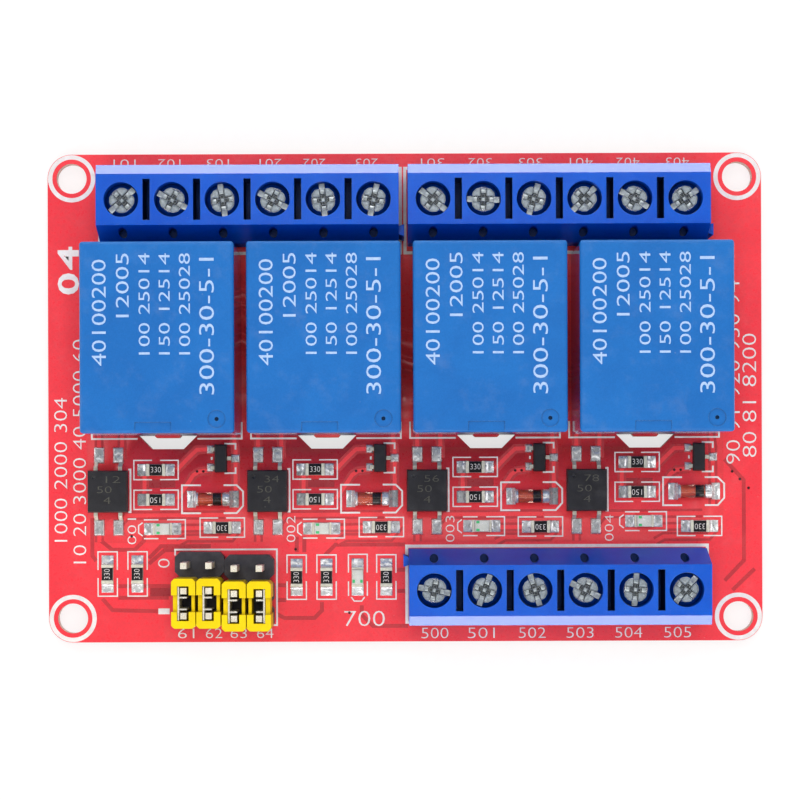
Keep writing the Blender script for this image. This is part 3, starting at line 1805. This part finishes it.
@dataclass(frozen=True)
class ScrewSize:
    """What the driven face of a terminal screw needs, in millimetres."""

    # One of the four raised quarters between the slots
    quarter: Path = (
        (0.31, 0.31), (1.0, 0.31), (1.13, 0.46), (1.06, 0.72), (0.72, 1.06), (0.46, 1.13), (0.31, 1.0)
    )
    # How far the pieces reach into one another
    sink: float = 0.01
    rise: float = 0.1
    rim: float = 0.07
    hub: float = 0.34
    hub_drop: float = 0.07
    pit: float = 0.32
    pit_at: float = 0.33
    pit_depth: float = 0.3
    bridge: tuple[float, float, float] = (0.42, 0.5, 0.3)
    bridge_at: float = 0.82
    bridge_drop: float = 0.12
    tab: tuple[float, float, float] = (0.6, 0.56, 0.3)
    tab_at: float = 1.34
    tab_drop: float = 0.2
    turns: tuple[int, ...] = (
        43, -28, -81, -28, -84, 78, -39, -2, 73, 46, -30, 35, -11, 70, -73, -26, 86, 51
    )


class Terminals(Part):
    """Three screw terminal blocks."""

    size = ScrewSize()

    def face(self) -> bpy.types.Object:
        """Models the driven face of one screw, its slot along X and its top at zero.

        Returns:
            The face.
        """
        s = self.size
        pieces = []
        for quarter in range(4):
            petal = plate("petal", moved(s.quarter, (0, 0), quarter), -s.sink, s.rise)
            pick_faces(petal)
            with editing(petal):
                step(s.rim, -0.9 * s.rise)
                step(1.2 * s.rim, 0.8 * s.rise)
            pieces.append(
                soften(petal, 0.012, lambda m, run: abs(run.z) < 0.5 and m.z > 0.6 * s.rise * MM)
            )
        hub = block("hub", (s.hub, s.hub, s.pit_depth), (0, 0, -s.hub_drop - s.pit_depth / 2))
        pieces.append(soften(hub, 0.05, lambda m, run: m.z > -(s.hub_drop + s.sink) * MM))
        for quarter in range(4):
            (at,) = moved([(s.pit_at, 0)], (0, 0), quarter)
            pit = block("pit", (s.pit, s.pit, s.pit_depth), (*at, s.sink - s.hub_drop - s.pit_depth / 2))
            pick_faces(pit)
            with editing(pit):
                bpy.ops.mesh.inset(thickness=0.02 * MM)
                step(0.09, -0.85 * s.pit_depth)
            pieces.append(clean(pit, 5))
            bridge = block("bridge", s.bridge, (s.bridge_at, 0, -s.bridge_drop - s.bridge[2] / 2))
            bridge = soften(bridge, 0.04, lambda m, run: m.z > -(s.bridge_drop + s.sink) * MM)
            pieces.append(copied(bridge, "bridge", (0, 0, 0), 90 * quarter))
            bpy.data.objects.remove(bridge)
        for side in (-1, 1):
            tab = block("tab", s.tab, (side * s.tab_at, 0, -s.tab_drop - s.tab[2] / 2))
            pick_faces(tab)
            with editing(tab):
                step(0.5 * s.rim, -0.02)
            pieces.append(soften(tab, 0.02, lambda m, run: abs(run.z) < 0.5))
        return merged("screw_face", pieces)

    def build(self) -> None:
        """Sets a face on every screw."""
        model = self.face()
        for number, turn in enumerate(self.size.turns, 1):
            at = top_middle(f"terminal_screw_{number:02}")
            face = copied(model, f"screw_face_{number:02}", at, turn)
            self.keep(face, "screw_face", "screw_steel", f"screw_{number:02}")
        bpy.data.objects.remove(model)

    def dress(self) -> None:
        """Finishes the housings, cages, guards and screws."""
        for name in ("load_terminal_left", "load_terminal_right", "input_terminal"):
            self.node(name, "terminal_plastic")
        self.node("terminal_cages", "cage_metal")
        self.node("wire_guards", "guard_bronze")
        for number in range(1, 19):
            self.node(f"terminal_screw_{number:02}", "screw_steel")


@dataclass(frozen=True)
class RelaySize:
    """What a relay's printed top needs, in millimetres."""

    ink: float = 0.012
    thin: float = 0.004
    # Text, place from the relay's middle, height and length of each column
    columns: tuple[tuple[str, float, float, float, float], ...] = (
        ("40100200", -5.61, 2.46, 1.42, 10.5),
        ("12005", -3.29, 4.94, 1.3, 6.3),
        ("100 25014", -1.15, 3.08, 1.12, 10.0),
        ("150 12514", 0.84, 3.08, 1.12, 10.0),
        ("100 25028", 2.84, 3.08, 1.12, 10.0),
        ("300-30-5-1", 5.04, 1.3, 1.5, 13.5),
    )


class Relays(Part):
    """Four relays with all their working parts and a plain print on top."""

    size = RelaySize()

    def build(self) -> None:
        """Prints columns of plain figures on each cover."""
        s = self.size
        for number in range(1, 5):
            middle = top_middle(f"relay_cover_{number}")
            columns = [
                numeral(text, tall, middle + Vector((dx, dy, 0)), 90, s.ink, long, s.thin)
                for text, dx, dy, tall, long in s.columns
            ]
            self.keep(merged(f"relay_print_{number}", columns), "relay_ink", "relay_plastic")

    def dress(self) -> None:
        """Finishes the covers and everything under them."""
        for name, finish in (
            ("relay_bases", "base_plastic"),
            ("relay_bobbins", "bobbin_plastic"),
            ("relay_windings", "winding_copper"),
            ("relay_cores", "core_iron"),
            ("relay_yokes", "yoke_steel"),
            ("relay_contacts", "contact_copper"),
            ("relay_pins", "tinned_pins"),
        ):
            self.node(name, finish)
        for number in range(1, 5):
            self.node(f"relay_cover_{number}", "relay_plastic")
            self.node(f"relay_armature_{number}", "armature_steel")
            self.node(f"contact_blade_{number}", "spring_bronze")


class Headers(Part):
    """The selector pins and their jumpers."""

    def dress(self) -> None:
        """Finishes headers, pins, caps and clips."""
        self.node("pin_headers", "header_plastic")
        self.node("header_pins", "pin_gold")
        for number in range(1, 5):
            self.node(f"jumper_cap_{number}", "jumper_plastic")
            self.node(f"jumper_clip_{number}", "clip_metal")


@dataclass(frozen=True)
class ChipSize:
    """A chip part's own sizes, in millimetres."""

    length: float = 2.0
    width: float = 1.25
    height: float = 0.55
    cap: float = 0.35
    core: float = 0.49
    glaze: float = 1.38
    foot: float = 1.6
    soft: float = 0.045


class ChipResistors(Part):
    """Seventeen chip resistors: ceramic core, printed caps, glaze and figures."""

    size = ChipSize()
    # Resistors between these Y carry other figures; from there down, lying ones stand on their heads
    turned_row: tuple[float, float] = (-11.5, -9)

    def model(self) -> tuple[bpy.types.Object, bpy.types.Object, bpy.types.Object]:
        """Models one resistor lying along X.

        Returns:
            Its core, its two caps and its glaze.
        """
        s = self.size
        core = block(
            "core", (s.length - 0.1, s.width - 0.07, s.core - 0.04), (0, 0, s.foot + s.core / 2 - 0.02)
        )
        soften(core, 0.02)
        caps = []
        for side in (-1, 1):
            cap = block(
                "cap", (s.cap, s.width, s.height),
                (side * (s.length - s.cap) / 2, 0, s.foot + s.height / 2),
            )
            pick_faces(cap, lambda c, n: n.x * side > 0.9)
            with editing(cap):
                bpy.ops.mesh.inset(thickness=0.08 * MM)
                bpy.ops.transform.translate(value=(-side * 0.02 * MM, 0, 0))
            caps.append(soften(cap, s.soft, lambda m, run: abs(run.y) > 0.9 or abs(run.z) > 0.9))
        glaze = block("glaze", (s.glaze, s.width - 0.1, 0.05), (0, 0, s.foot + s.core))
        pick_faces(glaze)
        with editing(glaze):
            step(0.1, 0.012)
        soften(glaze, 0.018, lambda m, run: abs(run.z) > 0.9)
        return core, merged("caps", caps), glaze

    def build(self) -> None:
        """Places the resistors and their figures."""
        s = self.size
        spots = middles("resistors")
        places = [(at, 90 if tall else 0) for at, tall in spots]
        core, caps, glaze = self.model()
        pieces = [
            self.keep(spread(core, "resistor_cores", places), "ceramic_white", "resistor_ceramic"),
            self.keep(spread(caps, "resistor_caps", places), "end_cap", "resistor_ceramic"),
            self.keep(spread(glaze, "resistor_glaze", places), "resistor_ceramic", "resistor_ceramic"),
        ]
        figures = []
        low, high = self.turned_row
        for (x, y), tall in spots:
            turn = 90 if tall else 0 if y > high else 180
            text = "150" if low < y < high else "330"
            figures.append(numeral(text, 0.6, (x, y, s.foot + s.core + 0.03), turn, 0.012, 1.05))
        pieces.append(self.keep(merged("resistor_figures", figures), "print_ink", "resistor_ceramic"))
        for piece in pieces:
            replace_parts(piece, "resistors")


@dataclass(frozen=True)
class LampSize:
    """A chip lamp's own sizes, in millimetres."""

    length: float = 2.0
    width: float = 1.25
    base: float = 0.36
    height: float = 0.8
    end: float = 0.34
    dome: float = 1.62
    die: tuple[float, float, float] = (0.3, 0.3, 0.1)
    mark: tuple[float, float, float] = (0.34, 0.26, 0.02)
    foot: float = 1.6


class ChipLamps(Part):
    """Five chip lamps: a carrier with plated ends under a clear dome."""

    size = LampSize()

    def build(self) -> None:
        """Models one lamp and copies it."""
        s = self.size
        carrier = block("carrier", (s.length - 0.5, s.width - 0.04, s.base), (0, 0, s.foot + s.base / 2))
        soften(carrier, 0.02)
        ends = []
        for side in (-1, 1):
            at = (side * (s.length - s.end) / 2, 0, s.foot + s.base / 2)
            end = block("end", (s.end, s.width, s.base + 0.02), at)
            ends.append(soften(end, 0.04, lambda m, run: abs(run.y) > 0.9))
        dome = block(
            "dome", (s.dome, s.width, s.height - s.base), (0, 0, s.foot + (s.height + s.base) / 2)
        )
        pick_faces(dome)
        with editing(dome):
            bpy.ops.transform.resize(value=(0.9, 0.94, 1))
        soften(dome, 0.07, lambda m, run: m.z > (s.foot + s.height - 0.05) * MM, 3)
        chip = soften(block("die", s.die, (0.05, 0, s.foot + s.base + 0.06)), 0.02)
        marks = []
        for side in (-1, 1):
            mark = block("mark", s.mark, (-0.42, side * 0.4, s.foot + s.height - 0.004))
            marks.append(soften(mark, 0.008))
        places = [(at, 90 if tall else 0) for at, tall in middles("lamps")]
        for obj, name, finish in (
            (carrier, "lamp_carriers", "ceramic_white"),
            (merged("ends", ends), "lamp_ends", "end_cap"),
            (dome, "lamp_domes", "lamp_resin"),
            (chip, "lamp_dies", "pin_gold"),
            (merged("marks", marks), "lamp_marks", "lamp_die"),
        ):
            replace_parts(self.keep(spread(obj, name, places), finish, "lamp_resin"), "lamps")


@dataclass(frozen=True)
class DiodeSize:
    """A glass diode's own sizes, in millimetres."""

    length: float = 3.5
    glass: float = 1.33
    cap: float = 1.45
    caps: tuple[float, float] = (0.26, 0.7)
    stud: float = 0.92
    band: tuple[float, float] = (0.05, 0.9)
    foot: float = 1.6


class GlassDiodes(Part):
    """Four glass diodes: end caps, studs, glass and a painted band."""

    size = DiodeSize()

    def build(self) -> None:
        """Models one diode and copies it."""
        s = self.size
        axis = s.foot + s.cap / 2
        low, high = s.caps[0] - s.length / 2, s.length / 2 - s.caps[1]
        glass = disc("glass", s.glass / 2, high - low + 0.02, (0, 0, low - 0.01), 40)
        soften(glass, 0.08, lambda m, run: abs(run.z) < 0.5, 3)
        stud = disc("stud", s.stud / 2, high - low - 0.1, (0, 0, low + 0.05), 32)
        pick_edges(stud, lambda m, run: abs(run.z) > 0.9)
        with editing(stud, "EDGE"):
            bpy.ops.mesh.subdivide(number_cuts=6)
        middle = (low + high) / 2 * MM
        pick_faces(stud, lambda c, n: abs(n.z) < 0.5 and abs(c.z - middle) < 0.1 * MM)
        with editing(stud):
            bpy.ops.transform.resize(value=(0.72, 0.72, 1))
        band_low, band_high = s.band
        band = disc("band", s.glass / 2 + 0.012, band_high - band_low, (0, 0, band_low), 40)
        soften(band, 0.01, lambda m, run: abs(run.z) < 0.5)
        caps = []
        for side, long in zip((-1, 1), s.caps):
            cap = disc(
                "cap", s.cap / 2, long, (0, 0, s.length / 2 - long if side > 0 else -s.length / 2), 40
            )
            caps.append(
                soften(
                    cap, 0.1, lambda m,
                    run: abs(run.z) < 0.5 and m.z * side > (s.length / 2 - 0.05) * MM, 4,
                )
            )
        places = [(at, 0) for at, _ in middles("glass_diodes")]
        for obj, name, finish in (
            (glass, "diode_glass", "diode_glass"),
            (clean(stud), "diode_studs", "diode_stud"),
            (band, "diode_bands", "band_paint"),
            (merged("caps", caps), "diode_caps", "solder"),
        ):
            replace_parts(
                self.keep(spread(lying(obj, axis), name, places), finish, "diode_glass"), "glass_diodes"
            )


class Packages(Part):
    """Optocouplers and transistors with their leads and their figures."""

    def dress(self) -> None:
        """Finishes the packages and their leads."""
        self.node("optocouplers", "package_plastic")
        self.node("transistors", "package_plastic")
        self.node("component_leads", "lead_tin")

    def build(self) -> None:
        """Marks each optocoupler with plain figures and a pin dot."""
        figures, dots = [], []
        for (low, high), first in zip(islands("optocouplers"), ("12", "34", "56", "78")):
            x, y, z = (low.x + high.x) / 2, (low.y + high.y) / 2, high.z
            for text, dx, dy in ((first, 0.45, 1.2), ("50", -0.3, 0.15), ("4", 0.0, -0.95)):
                figures.append(numeral(text, 0.72, (x + dx, y + dy, z), 0, 0.008, 0.75 * len(text)))
            dot = disc("dot", 0.24, 0.012, (x - 1.4, y + 1.5, z), 28)
            pick_faces(dot)
            with editing(dot):
                step(0.05, -0.008)
            dots.append(dot)
        self.keep(merged("package_figures", figures), "laser_mark", "package_plastic")
        self.keep(clean(merged("package_dots", dots)), "package_plastic", "package_plastic")


class Solder(Part):
    """The soft solder at every foot and round every pin."""

    rounding = 0.09

    def dress(self) -> None:
        """Finishes the joints and rounds their edges."""
        self.node("solder_joints", "solder")
        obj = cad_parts["solder_joints"]
        weld = obj.modifiers.new("weld", "WELD")
        weld.merge_threshold = 1e-7
        bevel = obj.modifiers.new("round", "BEVEL")
        bevel.width = self.rounding * MM
        bevel.segments = 3
        bevel.limit_method = "ANGLE"
        bevel.angle_limit = math.radians(25)
        only(obj)
        bpy.ops.object.shade_smooth()


# ---------------------------------------------------------------- studio


@dataclass(frozen=True)
class Lamp:
    """One soft light: its place and aim in millimetres, its size and its level."""

    name: str
    at: tuple[float, float, float]
    size: tuple[float, float]
    power: float
    mirrored: bool = True
    aim: tuple[float, float, float] = (0, 0, 5)


class Studio:
    """The floor, the lights, the world and the camera."""

    lamps = (
        Lamp("top_light", (0, 0, 520), (150, 400), 1.4, mirrored=False),
        Lamp("front_high_light", (0, -190, 420), (460, 120), 0.32),
        Lamp("back_high_light", (0, 185, 420), (460, 120), 0.32),
        Lamp("front_low_light", (0, -420, 179), (560, 60), 0.8),
        Lamp("back_low_light", (0, 420, 152), (560, 60), 0.8),
        Lamp("left_light", (-430, 30, 260), (120, 260), 0.26),
        Lamp("right_light", (430, -30, 260), (120, 260), 0.22),
    )
    camera_at = (-1.3, -9.3, 326.6)
    lens = 141
    shift = (0.009, 0.109)
    roll = -0.2
    paper = ((0.93, 0.93, 0.93), (0.96, 0.96, 0.96))
    # How much of the floor's brightness is its own, as the camera sees it
    backlit = 0.7
    ambient = 0.3
    # What gloss mirrors from the sides and from straight above
    mirrored = (0.8, 0.07)

    def floor(self) -> None:
        """Lays a pale seamless floor under the board's pins."""
        bpy.ops.object.select_all(action="DESELECT")
        bpy.ops.mesh.primitive_plane_add(size=3)
        obj = bpy.context.object
        obj.name = "studio_floor"
        obj.location.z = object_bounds()[0].z
        bpy.ops.object.transform_apply()
        material = bpy.data.materials.new("studio_floor")
        material.use_nodes = True
        t = Tree(material.node_tree)
        place = t.add("TexCoord").outputs["Object"]
        grain = t.add("TexNoise", Vector=place, Scale=900.0, Detail=4.0)
        bump = t.add("Bump", Strength=0.15, Distance=0.05 * MM, Height=grain.outputs[0])
        tone = t.mix(t.ramp(grain.outputs[0], 0.3, 0.7), *self.paper)
        lit = t.add("BsdfPrincipled", Base_Color=tone, Roughness=0.7, Normal=bump.outputs[0])
        glow = t.add("Emission", Color=(1.0, 1.0, 1.0), Strength=1.0)
        share = t.times(t.add("LightPath").outputs["Is Camera Ray"], self.backlit)
        both = t.add("MixShader", Fac=share, i1=lit.outputs[0], i2=glow.outputs[0])
        t.add("OutputMaterial", Surface=both.outputs[0])
        obj.data.materials.append(material)
        obj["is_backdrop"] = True

    def light(self) -> None:
        """Hangs the soft lights and sets the even world."""
        for lamp in self.lamps:
            data = bpy.data.lights.new(lamp.name, "AREA")
            data.shape = "RECTANGLE"
            data.size, data.size_y = lamp.size[0] * MM, lamp.size[1] * MM
            data.energy = lamp.power
            obj = bpy.data.objects.new(lamp.name, data)
            obj.location = Vector(lamp.at) * MM
            obj.rotation_euler = (Vector(lamp.aim) - Vector(lamp.at)).to_track_quat("-Z", "Y").to_euler()
            obj.visible_glossy = lamp.mirrored
            bpy.context.collection.objects.link(obj)
            obj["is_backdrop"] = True
        world = bpy.data.worlds.new("studio")
        world.use_nodes = True
        t = Tree(world.node_tree)
        ray = t.add("LightPath")
        height = t.add("SeparateXYZ", Vector=t.add("TexCoord").outputs["Generated"]).outputs["Z"]
        mirrored = t.ramp(height, 0.5, 0.96, *self.mirrored)
        level = t.mix(ray.outputs["Is Glossy Ray"], (self.ambient,) * 3, mirrored)
        seen = t.math("MAXIMUM", ray.outputs["Is Camera Ray"], ray.outputs["Is Transmission Ray"])
        level = t.mix(seen, level, (1.0, 1.0, 1.0))
        t.add(
            "OutputWorld", Surface=t.add("Background", Color=(1.0, 1.0, 1.0), Strength=level).outputs[0]
        )
        bpy.context.scene.world = world

    def camera(self) -> None:
        """Sets the camera straight above the board."""
        data = bpy.data.cameras.new("camera")
        data.lens = self.lens
        data.sensor_width = 36
        data.shift_x, data.shift_y = self.shift
        data.clip_start, data.clip_end = 0.01, 10
        data.dof.use_dof = False
        obj = bpy.data.objects.new("camera", data)
        obj.location = Vector(self.camera_at) * MM
        obj.rotation_euler = (0, 0, math.radians(self.roll))
        bpy.context.collection.objects.link(obj)
        bpy.context.scene.camera = obj
        bpy.context.scene.view_settings.view_transform = "Standard"

    def build(self) -> None:
        """Builds the whole studio."""
        self.floor()
        self.light()
        self.camera()


def main() -> None:
    """Builds every part in order, then the studio."""
    logging.basicConfig(level=logging.INFO, format="%(message)s")
    finishes = Finishes(Effects())
    for kind in (
        Board, Terminals, Relays, Headers, ChipResistors, ChipLamps, GlassDiodes, Packages, Solder
    ):
        part = kind(finishes)
        part.build()
        part.dress()
        LOG.info("%s: %d pieces added", kind.__name__, part.count)
    Studio().build()


if __name__ == "__main__":
    main()
